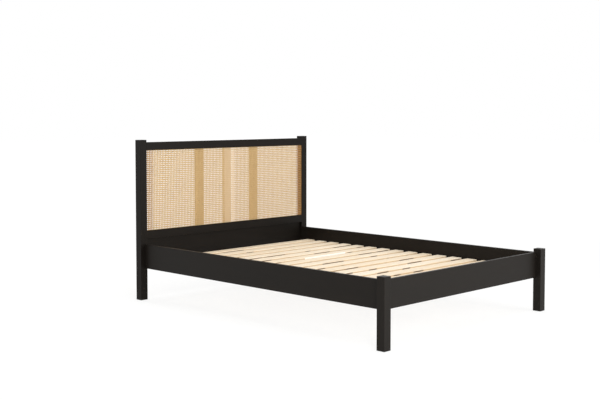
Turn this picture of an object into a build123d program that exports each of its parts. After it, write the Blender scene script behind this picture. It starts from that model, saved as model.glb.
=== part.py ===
from build123d import *
import os

# Double bed with a cane headboard, for a 135 x 190 cm mattress. All sizes are in millimetres.
# X runs across the bed, +Y points to the headboard and +Z up. The origin is on the floor, under the middle.

# Overall size and posts
bed_width = 1475.0
bed_length = 2010.0
head_post_height = 1000.0
foot_post_height = 371.0
post_size = 50.0
edge_round = 1.5

# Side rails and foot rail, flush with the posts' inner faces
floor_clearance = 200.0
rail_depth = 150.0
rail_thickness = 18.0

# Headboard frame
post_above_rail = 15.0
top_rail_height = 50.0
bottom_rail_height = 52.0
cane_foot_height = 435.0
headboard_depth = 40.0
panel_thickness = 18.0

# Cane sheet, which lies behind a front lip and is held by beads. Its openings are as open as the weave.
lip_thickness = 4.0
rabbet_width = 8.0
cane_thickness = 1.5
cane_edge_gap = 1.0
cane_opening_columns = 12
cane_opening_rows = 5
cane_opening_width = 60.0
cane_opening_height = 54.0
bead_depth = 8.0
upright_width = 68.0
upright_thickness = 15.0
upright_spacing = 242.0

# Slats, their ledges and the centre rail
deck_height = 266.0
slat_width = 70.0
slat_thickness = 18.0
slat_pitch = 115.0
slat_count = 16
slat_foot_gap = 49.0
slat_end_gap = 8.0
slat_round = 2.0
ledge_width = 30.0
ledge_height = 30.0
ledge_foot_gap = 44.0
ledge_head_gap = 55.0
centre_rail_width = 40.0
centre_rail_height = 42.0
centre_rail_end_gap = 0.5

# Hanger brackets of the centre rail
bracket_steel = 2.5
bracket_reach = 40.0
bracket_height = 36.0
bracket_ear = 22.0
bracket_side_gap = 0.3

# Dowels
dowel_radius = 4.0
dowel_length = 36.0
dowel_fit = 0.1
dowel_edge = 11.0
panel_dowel_spacing = 300.0
panel_dowel_count = 5
upright_dowel_radius = 3.0
upright_dowel_length = 24.0
upright_dowel_spacing = 34.0

# Bolts through the head posts, with barrel nuts in the side rails
bolt_edge_low = 28.0
bolt_edge_high = 40.0
joint_dowel_rise = 38.0
joint_stagger = 18.0
bolt_radius = 3.0
bolt_head_radius = 7.0
bolt_head_height = 2.0
bolt_socket_radius = 2.3
bolt_fit = 0.2
bolt_tip = 10.0
barrel_radius = 5.0
barrel_length = 14.0
barrel_setback = 45.0

# Cam fittings between the rails and the foot posts
cam_radius = 7.5
cam_depth = 12.5
cam_setback = 34.0
cam_fit = 0.1
cam_bolt_radius = 3.0
cam_bolt_neck = 2.2
cam_bolt_head = 3.4
cam_bolt_head_length = 4.0
cam_bolt_bite = 11.0

# Wood screws, brads and glides
screw_radius = 2.0
screw_head_radius = 4.0
screw_head_height = 2.6
screw_fit = 0.1
cross_width = 1.1
cross_length = 4.6
cross_depth = 1.5
slat_screw_inset = 11.0
slat_screw_bite = 16.0
ledge_screw_rise = 9.0
ledge_screw_bite = 11.0
ledge_screw_step = 2
bracket_screw_bite = 13.0
bracket_screw_edge = 9.0
brad_radius = 0.7
brad_fit = 0.05
brad_bite = 9.0
brad_edge = 60.0
side_brad_count = 3
cross_brad_count = 5
glide_radius = 13.0
glide_height = 3.0
glide_chamfer = 0.8
glide_nail_radius = 1.3
glide_nail_length = 16.0

# Places worked out from the sizes
half_width = bed_width / 2
half_length = bed_length / 2
well_half = half_width - post_size
head_front = half_length - post_size
foot_inner = post_size - half_length
rail_outer = well_half + rail_thickness
rail_top = floor_clearance + rail_depth
rail_middle = well_half + rail_thickness / 2
foot_rail_middle = foot_inner - rail_thickness / 2
headboard_back = head_front + headboard_depth
top_rail_top = head_post_height - post_above_rail
cane_top = top_rail_top - top_rail_height
panel_top = cane_foot_height - bottom_rail_height
panel_face = headboard_back - panel_thickness
panel_middle = headboard_back - panel_thickness / 2
rail_dowel_depth = head_front + lip_thickness + (headboard_depth - lip_thickness) / 2
cane_face = head_front + lip_thickness
cane_back = cane_face + cane_thickness
bead_back = cane_back + bead_depth
rabbet_low = cane_foot_height - rabbet_width
rabbet_high = cane_top + rabbet_width
rabbet_half = well_half + rabbet_width
upright_face = headboard_back - upright_thickness
upright_middle = headboard_back - upright_thickness / 2
ledge_top = deck_height - slat_thickness
ledge_bottom = ledge_top - ledge_height
ledge_inner = well_half - ledge_width
slat_half = well_half - slat_end_gap
slat_centres = [
    foot_inner + slat_foot_gap + slat_width / 2 + slat_pitch * index for index in range(slat_count)
]
upright_centres = {"left": -upright_spacing, "centre": 0.0, "right": upright_spacing}
bolt_heights = (floor_clearance + bolt_edge_low, rail_top - bolt_edge_high)
joint_dowel_height = bolt_heights[0] + joint_dowel_rise
foot_rail_cam_heights = [height + joint_stagger for height in bolt_heights]
foot_rail_dowel_height = joint_dowel_height + joint_stagger
half_dowel = dowel_length / 2
drill_past = 1.0

RIGHT = Vector(1, 0, 0)
HEADWARD = Vector(0, 1, 0)
UP = Vector(0, 0, 1)


# Basic shapes


def block(low, high):
    """A box between two opposite corners."""
    size = [end - start for start, end in zip(low, high)]
    centre = [(start + end) / 2 for start, end in zip(low, high)]
    return Pos(*centre) * Box(*size)


def rod(start, direction, radius, length):
    """A round bar that starts at a point and runs along a direction."""
    bar = Cylinder(radius, length, align=(Align.CENTER, Align.CENTER, Align.MIN))
    return Plane(origin=start, z_dir=direction) * bar


def mirrored(part):
    """The same part on the other side of the bed."""
    return mirror(part, Plane.YZ)


def both_sides(parts):
    """Parts of the right side, followed by their mirror images."""
    return parts + [mirrored(part) for part in parts]


def cut(part, tools):
    """A part with every tool taken out of it."""
    for tool in tools:
        part = part - tool
    return part


def rounded(part, axis, radius):
    """A part with its edges along one axis rounded."""
    return fillet(part.edges().filter_by(axis), radius)


def save(node, solids):
    """Writes the solids of one node."""
    pieces = [solid for part in solids for solid in part.solids()]
    export_step(Compound(pieces), f"parts/{node}.step")


# Fasteners, each made with a clearance of nothing and drilled with its own clearance


def dowel(centre, direction, fit=0.0, radius=dowel_radius, length=dowel_length):
    """A glued dowel about its middle, or its hole where a fit is given."""
    long = length + (2 * drill_past if fit else 0.0)
    pin = rod(centre - direction * (long / 2), direction, radius + fit, long)
    if fit:
        return pin
    ends = pin.edges().filter_by(GeomType.CIRCLE)
    return chamfer(ends, radius / 4)


def upright_dowel(centre, fit=0.0):
    """A small vertical dowel at an upright's end."""
    return dowel(centre, UP, fit, upright_dowel_radius, upright_dowel_length)


def screw(start, direction, length):
    """A countersunk wood screw whose head is flush at its start, with a cross recess."""
    plane = Plane(origin=start, z_dir=direction)
    head = Cone(screw_head_radius, screw_radius, screw_head_height, align=(Align.CENTER, Align.CENTER, Align.MIN))
    tip = screw_radius * 2
    shank = Cylinder(screw_radius, length - tip, align=(Align.CENTER, Align.CENTER, Align.MIN))
    point = Pos(0, 0, length - tip) * Cone(
        screw_radius, screw_radius / 4, tip, align=(Align.CENTER, Align.CENTER, Align.MIN)
    )
    body = head + shank + point
    for turn in (0, 90):
        body = body - Rot(0, 0, turn) * Box(cross_length, cross_width, 2 * cross_depth)
    return plane * body


def screw_hole(start, direction, length):
    """The countersunk hole of a wood screw, open at the face that it starts from."""
    seat = Cone(
        screw_head_radius + screw_fit,
        screw_radius + screw_fit,
        screw_head_height,
        align=(Align.CENTER, Align.CENTER, Align.MIN),
    )
    bore = Cylinder(
        screw_radius + screw_fit, length + drill_past, align=(Align.CENTER, Align.CENTER, Align.MIN)
    )
    return Plane(origin=start, z_dir=direction) * (seat + bore)


def brad(start, direction, fit=0.0):
    """A thin brad through a bead into the frame, or its hole."""
    return rod(start, direction, brad_radius + fit, rabbet_width + brad_bite + (drill_past if fit else 0.0))


def head_bolt(height):
    """A connector bolt from behind the right head post, with a hexagon socket in its flat head."""
    seat = Vector(rail_middle, half_length - bolt_head_height, height)
    length = half_length - bolt_head_height - (head_front - barrel_setback - bolt_tip)
    shank = rod(seat, -HEADWARD, bolt_radius, length)
    head = rod(seat, HEADWARD, bolt_head_radius, bolt_head_height)
    socket_depth = bolt_head_height
    hexagon = extrude(RegularPolygon(bolt_socket_radius, 6), socket_depth)
    socket = Plane(origin=seat + HEADWARD * bolt_head_height, z_dir=-HEADWARD) * hexagon
    return shank + head - socket


def head_bolt_hole(height):
    """The stepped hole of a head bolt, through the post and into the rail's end."""
    seat = Vector(rail_middle, half_length - bolt_head_height, height)
    length = half_length - (head_front - barrel_setback - bolt_tip)
    shank = rod(seat, -HEADWARD, bolt_radius + bolt_fit, length)
    head = rod(seat, HEADWARD, bolt_head_radius + bolt_fit, bolt_head_height + drill_past)
    return shank + head


def barrel_nut(height, fit=0.0):
    """A barrel nut in the right side rail, pushed in from the rail's inner face, or its pocket."""
    start = Vector(well_half, head_front - barrel_setback, height)
    if fit:
        return rod(start - RIGHT * drill_past, RIGHT, barrel_radius + fit, barrel_length + drill_past + fit)
    nut = rod(start, RIGHT, barrel_radius, barrel_length)
    thread = rod(
        start + RIGHT * (rail_thickness / 2) - HEADWARD * (2 * barrel_radius),
        HEADWARD,
        bolt_radius + bolt_fit / 2,
        4 * barrel_radius,
    )
    slot = Pos(start) * Box(2 * cross_width, 2 * barrel_radius, cross_width)
    return nut - thread - slot


def cam_bolt(corner, along, fit=0.0):
    """The bolt of a cam fitting: it screws into the post and its head sits in the cam."""
    bite = rod(corner, -along, cam_bolt_radius + fit, cam_bolt_bite + (drill_past if fit else 0.0))
    if fit:
        return bite + rod(corner, along, cam_bolt_head + fit, cam_setback)
    neck = rod(corner, along, cam_bolt_neck, cam_setback)
    head = rod(corner + along * (cam_setback - cam_bolt_head_length), along, cam_bolt_head, cam_bolt_head_length)
    return bite + neck + head


def cam_lock(corner, along, into, fit=0.0):
    """The round cam in a rail's inner face, slotted for the bolt's head, or its pocket."""
    centre = corner + along * cam_setback - into * (rail_thickness / 2)
    if fit:
        return rod(centre - into * drill_past, into, cam_radius + fit, cam_depth + drill_past + fit)
    body = rod(centre, into, cam_radius, cam_depth)
    mouth = rod(corner, along, cam_bolt_head + fit + cam_fit, cam_setback + cam_fit)
    turn_slot = Plane(origin=centre, z_dir=into) * Box(1.4 * cam_radius, cross_width, 2 * cross_depth)
    cross_slot = Plane(origin=centre, z_dir=into) * Box(cross_width, 1.4 * cam_radius, 2 * cross_depth)
    return body - mouth - turn_slot - cross_slot


# Places of the right side's fasteners

side_cams = [(Vector(rail_middle, foot_inner, height), HEADWARD, RIGHT) for height in bolt_heights]
foot_cams = [(Vector(well_half, foot_rail_middle, height), -RIGHT, -HEADWARD) for height in foot_rail_cam_heights]
side_dowels = [
    (Vector(rail_middle, head_front, joint_dowel_height), HEADWARD),
    (Vector(rail_middle, foot_inner, joint_dowel_height), HEADWARD),
]
foot_dowels = [(Vector(well_half, foot_rail_middle, foot_rail_dowel_height), RIGHT)]
top_rail_dowels = [
    (Vector(well_half, rail_dowel_depth, height), RIGHT)
    for height in (rabbet_high + dowel_edge, top_rail_top - dowel_edge)
]
bottom_rail_dowels = [
    (Vector(well_half, rail_dowel_depth, height), RIGHT)
    for height in (panel_top + dowel_edge, rabbet_low - dowel_edge)
]
panel_end_dowels = [
    (Vector(well_half, panel_middle, height), RIGHT)
    for height in (bolt_heights[0] + joint_stagger, bolt_heights[1] - joint_stagger)
]
panel_top_dowels = [
    (Vector(panel_dowel_spacing * (index - (panel_dowel_count - 1) / 2), panel_middle, panel_top), UP)
    for index in range(panel_dowel_count)
]


def dowel_holes(places):
    """The holes of the dowels at some places."""
    return [dowel(centre, direction, dowel_fit) for centre, direction in places]


def dowels(places):
    """The dowels at some places."""
    return [dowel(centre, direction) for centre, direction in places]


def upright_dowel_places():
    """Where the uprights' dowels stand, two at each end of each upright."""
    return [
        Vector(centre + side * upright_dowel_spacing / 2, upright_middle, height)
        for centre in upright_centres.values()
        for side in (-1, 1)
        for height in (rabbet_low, rabbet_high)
    ]


def brad_places():
    """Where the brads start on the beads, and the way that each one is driven."""
    span = rabbet_half - brad_edge
    rise = (cane_top - cane_foot_height) / 2 - brad_edge
    middle = (cane_top + cane_foot_height) / 2
    depth = (cane_back + bead_back) / 2
    places = []
    for index in range(cross_brad_count):
        x = span * (2 * index / (cross_brad_count - 1) - 1)
        places.append((Vector(x, depth, cane_top), UP))
        places.append((Vector(x, depth, cane_foot_height), -UP))
    for index in range(side_brad_count):
        z = middle + rise * (2 * index / (side_brad_count - 1) - 1)
        places.append((Vector(well_half, depth, z), RIGHT))
        places.append((Vector(-well_half, depth, z), -RIGHT))
    return places


def slat_screw_places(centre):
    """Where the two screws of one slat start."""
    inset = slat_half - slat_screw_inset
    return [Vector(side * inset, centre, deck_height) for side in (-1, 1)]


def ledge_screw_places():
    """Where the screws of the right ledge start, in the gaps between the slats."""
    gaps = range(0, slat_count - 1, ledge_screw_step)
    height = ledge_bottom + ledge_screw_rise
    return [Vector(ledge_inner, slat_centres[gap] + slat_pitch / 2, height) for gap in gaps]


def bracket_screw_places(face, way):
    """Where the four screws of a hanger bracket start. Its ears lie on a face and look the given way."""
    seat = ledge_top - centre_rail_height - bracket_steel
    ear_middle = centre_rail_width / 2 + bracket_side_gap + bracket_steel + bracket_ear / 2
    return [
        Vector(side * ear_middle, face + way * bracket_steel, height)
        for side in (-1, 1)
        for height in (seat + bracket_screw_edge, seat + bracket_height - bracket_screw_edge)
    ]


# Posts


def post(front, height):
    """A square post of the right side, with its edges and top rounded."""
    low = (well_half, front, glide_height)
    body = block(low, (half_width, front + post_size, height))
    edges = body.edges().filter_by(Axis.Z) + body.faces().sort_by(Axis.Z)[-1].edges()
    body = fillet(edges, edge_round)
    nail = rod(
        Vector(half_width - post_size / 2, front + post_size / 2, glide_height),
        UP,
        glide_nail_radius + brad_fit,
        glide_nail_length + drill_past,
    )
    return body - nail


def head_post():
    """The right head post, rabbeted behind the cane."""
    rabbet = block((well_half - drill_past, cane_face, rabbet_low), (rabbet_half, half_length + 1, rabbet_high))
    holes = dowel_holes(top_rail_dowels + bottom_rail_dowels + panel_end_dowels + side_dowels[:1])
    bolts = [head_bolt_hole(height) for height in bolt_heights]
    brads = [brad(start, way, brad_fit) for start, way in brad_places() if way == RIGHT]
    return cut(post(head_front, head_post_height), [rabbet] + holes + bolts + brads)


def foot_post():
    """The right foot post."""
    holes = dowel_holes(foot_dowels + side_dowels[1:])
    cams = [cam_bolt(corner, along, cam_fit) for corner, along, _ in side_cams + foot_cams]
    return cut(post(-half_length, foot_post_height), holes + cams)


def glide(front):
    """A round nail-on glide under the right post that starts at the given front."""
    centre = Vector(half_width - post_size / 2, front + post_size / 2, 0)
    pad = rod(centre, UP, glide_radius, glide_height)
    pad = chamfer(pad.edges().filter_by(GeomType.CIRCLE).sort_by(Axis.Z)[0], glide_chamfer)
    return pad + rod(centre, UP, glide_nail_radius, glide_height + glide_nail_length)


# Headboard


def top_rail():
    """The headboard's top rail, with the rabbet for the cane along its lower back edge."""
    rail = block((-well_half, head_front, cane_top), (well_half, headboard_back, top_rail_top))
    rail = rounded(rail, Axis.X, edge_round)
    rabbet = block((-half_width, cane_face, cane_top - 1), (half_width, headboard_back + 1, rabbet_high))
    return cut(rail, [rabbet] + headboard_rail_holes(top_rail_dowels, UP))


def bottom_rail():
    """The headboard's bottom rail, with the rabbet for the cane along its upper back edge."""
    rail = block((-well_half, head_front, panel_top), (well_half, headboard_back, cane_foot_height))
    rail = rounded(rail, Axis.X, edge_round)
    rabbet = block((-half_width, cane_face, rabbet_low), (half_width, headboard_back + 1, cane_foot_height + 1))
    holes = headboard_rail_holes(bottom_rail_dowels, -UP) + dowel_holes(panel_top_dowels)
    return cut(rail, [rabbet] + holes)


def headboard_rail_holes(end_dowels, brad_way):
    """The holes of a headboard rail: its end dowels, the uprights' dowels and the brads."""
    ends = both_sides(dowel_holes(end_dowels))
    uprights = [upright_dowel(place, dowel_fit) for place in upright_dowel_places()]
    brads = [brad(start, way, brad_fit) for start, way in brad_places() if way == brad_way]
    return ends + uprights + brads


def lower_panel():
    """The solid board under the bottom rail, set back from it."""
    panel = block((-well_half, panel_face, floor_clearance), (well_half, headboard_back, panel_top))
    lower_edges = panel.edges().filter_by(Axis.X).sort_by(Axis.Z)[:2]
    panel = fillet(lower_edges, edge_round)
    screws = [
        screw_hole(place, HEADWARD, bracket_screw_bite + bracket_steel)
        for place in bracket_screw_places(panel_face, -1)
    ]
    return cut(panel, both_sides(dowel_holes(panel_end_dowels)) + dowel_holes(panel_top_dowels) + screws)


def cane_sheet():
    """The outer form of the cane webbing: a thin sheet in the rabbet, opened by an even grid."""
    margin = rabbet_width - cane_edge_gap
    sheet = block(
        (-well_half - margin, cane_face, cane_foot_height - margin),
        (well_half + margin, cane_back, cane_top + margin),
    )
    return cut(sheet, cane_openings())


def cane_openings():
    """The even grid of openings in the cane sheet."""
    column_pitch = 2 * well_half / cane_opening_columns
    row_pitch = (cane_top - cane_foot_height) / cane_opening_rows
    opening = Box(cane_opening_width, cane_thickness + 2 * drill_past, cane_opening_height)
    places = GridLocations(column_pitch, row_pitch, cane_opening_columns, cane_opening_rows)
    middle = Vector(0, (cane_face + cane_back) / 2, (cane_foot_height + cane_top) / 2)
    return [Pos(middle + Vector(place.position.X, 0, place.position.Y)) * opening for place in places]


def cross_bead(low, high):
    """A bead along the cane's upper or lower edge."""
    bead = block((-rabbet_half, cane_back, low), (rabbet_half, bead_back, high))
    holes = [brad(start, way, brad_fit) for start, way in brad_places() if abs(way.Z) > 0.5]
    return cut(bead, holes)


def side_bead():
    """The bead along the cane's right edge, between the other two."""
    bead = block((well_half, cane_back, cane_foot_height), (rabbet_half, bead_back, cane_top))
    return cut(bead, [brad(start, way, brad_fit) for start, way in brad_places() if way == RIGHT])


def upright(centre):
    """An upright behind the cane, between the rabbets of the two rails."""
    half = upright_width / 2
    board = block((centre - half, upright_face, rabbet_low), (centre + half, headboard_back, rabbet_high))
    board = rounded(board, Axis.Z, edge_round)
    return cut(board, [upright_dowel(place, dowel_fit) for place in upright_dowel_places()])


# Side rails, foot rail and ledges


def side_rail():
    """The right side rail, between the head post and the foot post."""
    rail = block((well_half, foot_inner, floor_clearance), (rail_outer, head_front, rail_top))
    rail = rounded(rail, Axis.Y, edge_round)
    holes = dowel_holes(side_dowels)
    bolts = [head_bolt_hole(height) for height in bolt_heights]
    nuts = [barrel_nut(height, bolt_fit) for height in bolt_heights]
    bolts_of_cams = [cam_bolt(corner, along, cam_fit) for corner, along, _ in side_cams]
    cams = [cam_lock(corner, along, into, cam_fit) for corner, along, into in side_cams]
    screws = [screw_hole(place, RIGHT, ledge_width + ledge_screw_bite) for place in ledge_screw_places()]
    return cut(rail, holes + bolts + nuts + bolts_of_cams + cams + screws)


def foot_rail():
    """The rail across the foot end."""
    rail = block((-well_half, foot_inner - rail_thickness, floor_clearance), (well_half, foot_inner, rail_top))
    rail = rounded(rail, Axis.X, edge_round)
    bolts_of_cams = [cam_bolt(corner, along, cam_fit) for corner, along, _ in foot_cams]
    cams = [cam_lock(corner, along, into, cam_fit) for corner, along, into in foot_cams]
    screws = [
        screw_hole(place, -HEADWARD, bracket_screw_bite + bracket_steel)
        for place in bracket_screw_places(foot_inner, 1)
    ]
    return cut(rail, both_sides(dowel_holes(foot_dowels) + bolts_of_cams + cams) + screws)


def ledge():
    """The ledge that carries the slats' right ends."""
    low = (ledge_inner, foot_inner + ledge_foot_gap, ledge_bottom)
    body = block(low, (well_half, head_front - ledge_head_gap, ledge_top))
    inner_edges = body.edges().filter_by(Axis.Y).sort_by(Axis.X)[:2]
    body = fillet(inner_edges, edge_round)
    screws = [screw_hole(place, RIGHT, ledge_width + ledge_screw_bite) for place in ledge_screw_places()]
    slat_screws = [
        screw_hole(place, -UP, slat_thickness + slat_screw_bite)
        for centre in slat_centres
        for place in slat_screw_places(centre)[1:]
    ]
    return cut(body, screws + slat_screws)


# Slat deck


def slat(centre):
    """One slat, screwed to both ledges."""
    half = slat_width / 2
    board = block((-slat_half, centre - half, ledge_top), (slat_half, centre + half, deck_height))
    board = rounded(board, Axis.X, slat_round)
    length = slat_thickness + slat_screw_bite
    return cut(board, [screw_hole(place, -UP, length) for place in slat_screw_places(centre)])


def centre_rail():
    """The rail under the middle of the slats, which ends in the hanger brackets."""
    half = centre_rail_width / 2
    start = foot_inner + bracket_steel + centre_rail_end_gap
    end = panel_face - bracket_steel - centre_rail_end_gap
    rail = block((-half, start, ledge_top - centre_rail_height), (half, end, ledge_top))
    return rounded(rail, Axis.Y, edge_round)


def bracket(face, way):
    """A hanger bracket on a face: two ears with a back between them, a seat and two cheeks."""
    seat = ledge_top - centre_rail_height
    base = seat - bracket_steel
    inner = centre_rail_width / 2 + bracket_side_gap
    outer = inner + bracket_steel
    ear = outer + bracket_ear
    reach = face + way * bracket_reach
    plate = face + way * bracket_steel
    near, far = sorted((face, plate))
    back = block((-ear, near, base), (ear, far, base + bracket_height))
    near, far = sorted((face, reach))
    body = back + block((-outer, near, base), (outer, far, seat))
    for side in (-1, 1):
        low_x, high_x = sorted((side * inner, side * outer))
        body = body + block((low_x, near, base), (high_x, far, base + bracket_height))
    length = bracket_screw_bite + bracket_steel
    holes = [screw_hole(place, HEADWARD * -way, length) for place in bracket_screw_places(face, way)]
    return cut(body, holes)


# Every node, written to its own file


def write_headboard():
    """Writes the headboard's pieces."""
    save("head_post_right", [head_post()])
    save("head_post_left", [mirrored(head_post())])
    save("headboard_top_rail", [top_rail()])
    save("headboard_bottom_rail", [bottom_rail()])
    save("headboard_lower_panel", [lower_panel()])
    save("cane_webbing", [cane_sheet()])
    save("cane_bead_top", [cross_bead(cane_top, rabbet_high)])
    save("cane_bead_bottom", [cross_bead(rabbet_low, cane_foot_height)])
    save("cane_bead_right", [side_bead()])
    save("cane_bead_left", [mirrored(side_bead())])
    for name, centre in upright_centres.items():
        save(f"cane_upright_{name}", [upright(centre)])
    save("bead_brads", [brad(start, way) for start, way in brad_places()])
    save("upright_dowels", [upright_dowel(place) for place in upright_dowel_places()])
    ends = both_sides(dowels(top_rail_dowels + bottom_rail_dowels + panel_end_dowels))
    save("headboard_dowels", ends + dowels(panel_top_dowels))


def write_frame():
    """Writes the foot posts, the rails and what joins them."""
    save("foot_post_right", [foot_post()])
    save("foot_post_left", [mirrored(foot_post())])
    save("side_rail_right", [side_rail()])
    save("side_rail_left", [mirrored(side_rail())])
    save("foot_rail", [foot_rail()])
    save("slat_ledge_right", [ledge()])
    save("slat_ledge_left", [mirrored(ledge())])
    save("rail_dowels", both_sides(dowels(side_dowels + foot_dowels)))
    save("head_bolts", both_sides([head_bolt(height) for height in bolt_heights]))
    save("barrel_nuts", both_sides([barrel_nut(height) for height in bolt_heights]))
    cams = side_cams + foot_cams
    save("cam_bolts", both_sides([cam_bolt(corner, along) for corner, along, _ in cams]))
    save("cam_locks", both_sides([cam_lock(corner, along, into) for corner, along, into in cams]))
    screws = [screw(place, RIGHT, ledge_width + ledge_screw_bite) for place in ledge_screw_places()]
    save("ledge_screws", both_sides(screws))
    save("floor_glides", both_sides([glide(head_front), glide(-half_length)]))


def write_deck():
    """Writes the slats, the centre rail and its brackets."""
    for number, centre in enumerate(reversed(slat_centres), start=1):
        save(f"slat_{number:02d}", [slat(centre)])
    length = slat_thickness + slat_screw_bite
    places = [place for centre in slat_centres for place in slat_screw_places(centre)]
    save("slat_screws", [screw(place, -UP, length) for place in places])
    save("centre_rail", [centre_rail()])
    save("centre_bracket_head", [bracket(panel_face, -1)])
    save("centre_bracket_foot", [bracket(foot_inner, 1)])
    length = bracket_screw_bite + bracket_steel
    at_head = [screw(place, HEADWARD, length) for place in bracket_screw_places(panel_face, -1)]
    at_foot = [screw(place, -HEADWARD, length) for place in bracket_screw_places(foot_inner, 1)]
    save("centre_bracket_screws", at_head + at_foot)


os.makedirs("parts", exist_ok=True)
write_headboard()
write_frame()
write_deck()
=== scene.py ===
"""A black painted double bed with an open cane headboard and a deck of sixteen pine slats.

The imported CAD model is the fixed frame. This script dresses its parts, weaves the cane webbing in their place
and sets the bed in a plain pale studio. Lengths are in metres unless a name says mm.
"""

import math

import bpy
from bpy.props import FloatProperty, FloatVectorProperty, IntProperty, PointerProperty
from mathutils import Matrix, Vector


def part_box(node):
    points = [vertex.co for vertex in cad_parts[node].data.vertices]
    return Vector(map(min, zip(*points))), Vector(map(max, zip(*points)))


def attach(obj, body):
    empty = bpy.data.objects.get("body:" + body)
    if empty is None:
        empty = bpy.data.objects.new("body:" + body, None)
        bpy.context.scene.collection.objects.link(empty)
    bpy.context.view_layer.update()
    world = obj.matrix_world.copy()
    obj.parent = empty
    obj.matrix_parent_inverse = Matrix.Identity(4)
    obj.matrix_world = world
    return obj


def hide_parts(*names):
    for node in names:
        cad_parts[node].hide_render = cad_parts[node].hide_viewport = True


bl_info = {
    "name": "Cane Headboard Bed",
    "version": (1, 0, 0),
    "blender": (4, 5, 0),
    "location": "View3D > Sidebar > Bed",
    "description": "Dresses a painted bed frame, weaves its cane headboard and sets up a plain studio",
    "category": "Add Mesh",
}

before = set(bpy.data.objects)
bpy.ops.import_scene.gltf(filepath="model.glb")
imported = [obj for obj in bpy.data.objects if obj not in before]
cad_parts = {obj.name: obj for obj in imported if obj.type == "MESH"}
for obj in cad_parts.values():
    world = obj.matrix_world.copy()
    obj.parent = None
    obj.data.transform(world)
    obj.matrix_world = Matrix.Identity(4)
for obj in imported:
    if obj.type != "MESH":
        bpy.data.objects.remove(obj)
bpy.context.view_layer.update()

MM = 0.001
IMAGE_WIDTH, IMAGE_HEIGHT = 600, 400
SENSOR_WIDTH_MM = 36.0


# Which parts of the bed take which finish.

HEAD_UPRIGHT_PARTS = ["head_post_left", "head_post_right", "cane_bead_left", "cane_bead_right"]
HEAD_CROSSWISE_PARTS = ["headboard_top_rail", "headboard_bottom_rail", "headboard_lower_panel",
                        "cane_bead_top", "cane_bead_bottom"]
FOOT_POSTS = ["foot_post_left", "foot_post_right"]
LENGTHWISE_PARTS = ["side_rail_left", "side_rail_right", "slat_ledge_left", "slat_ledge_right"]
SLAT_PARTS = [f"slat_{number:02d}" for number in range(1, 17)]
DOWEL_PARTS = ["upright_dowels", "headboard_dowels", "rail_dowels"]
ZINC_PARTS = ["slat_screws", "ledge_screws", "cam_locks", "cam_bolts", "bead_brads", "centre_bracket_screws"]
BLACK_STEEL_PARTS = ["head_bolts", "barrel_nuts", "centre_bracket_head", "centre_bracket_foot"]


def linear(code):
    """The linear red, green and blue of an sRGB hex code."""
    parts = [int(code[place:place + 2], 16) / 255 for place in (1, 3, 5)]
    return tuple(part / 12.92 if part <= 0.04045 else ((part + 0.055) / 1.055) ** 2.4 for part in parts)


def add_node(tree, kind, inputs=None, **settings):
    """Adds a node with its settings. Its inputs are plain values or the output sockets that feed them."""
    node = tree.nodes.new(kind)
    for name, value in settings.items():
        setattr(node, name, value)
    for key, value in (inputs or {}).items():
        if isinstance(value, bpy.types.NodeSocket):
            tree.links.new(value, node.inputs[key])
        else:
            node.inputs[key].default_value = value
    return node


def new_material(name):
    """A node material and its tree, both empty."""
    material = bpy.data.materials.new(name)
    material.use_nodes = True
    material.node_tree.nodes.clear()
    return material, material.node_tree


def dress(names, material):
    """Gives the CAD parts a finish, through their own material slots."""
    for name in names:
        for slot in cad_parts[name].material_slots:
            slot.material = material


# Finishes.

AXES = {"X": 0, "Y": 1, "Z": 2}

# The slats' edges: how far below the top the painted shade begins, how long a patch of painted shade is, and the
# slat with the stretch of painted light, counted from the foot, with its middle and half its length across the bed.
SHADE_DEPTH = 4 * MM
SHADE_PATCH_LENGTH = 170 * MM
LIT_GAP_SLAT = 10
LIT_GAP_MIDDLE, LIT_GAP_HALF_LENGTH = 178 * MM, 188 * MM

# The stage: half the floor's side, and how far from the bed the floor's shadow has faded.
FLOOR_REACH = 30.0
SHADOW_NEAR, SHADOW_FAR = 1.6, 5.0


def stretched(along, across_mm, length_mm):
    """The scale of a pattern that is length_mm long on one axis and across_mm wide on the other two."""
    scale = [1 / (across_mm * MM)] * 3
    scale[AXES[along]] = 1 / (length_mm * MM)
    return scale


def edge_mask(tree, radius_mm, gain):
    """0 on flat faces and up to 1 where the surface turns within radius_mm of an edge."""
    softened = add_node(tree, "ShaderNodeBevel", {"Radius": radius_mm * MM}, samples=4)
    flat = add_node(tree, "ShaderNodeNewGeometry")
    likeness = add_node(tree, "ShaderNodeVectorMath",
                        {0: softened.outputs["Normal"], 1: flat.outputs["True Normal"]}, operation="DOT_PRODUCT")
    turned = add_node(tree, "ShaderNodeMath", {0: 1.0, 1: likeness.outputs["Value"]}, operation="SUBTRACT")
    return add_node(tree, "ShaderNodeMath", {0: turned.outputs[0], 1: gain}, operation="MULTIPLY",
                    use_clamp=True).outputs[0]


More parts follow.
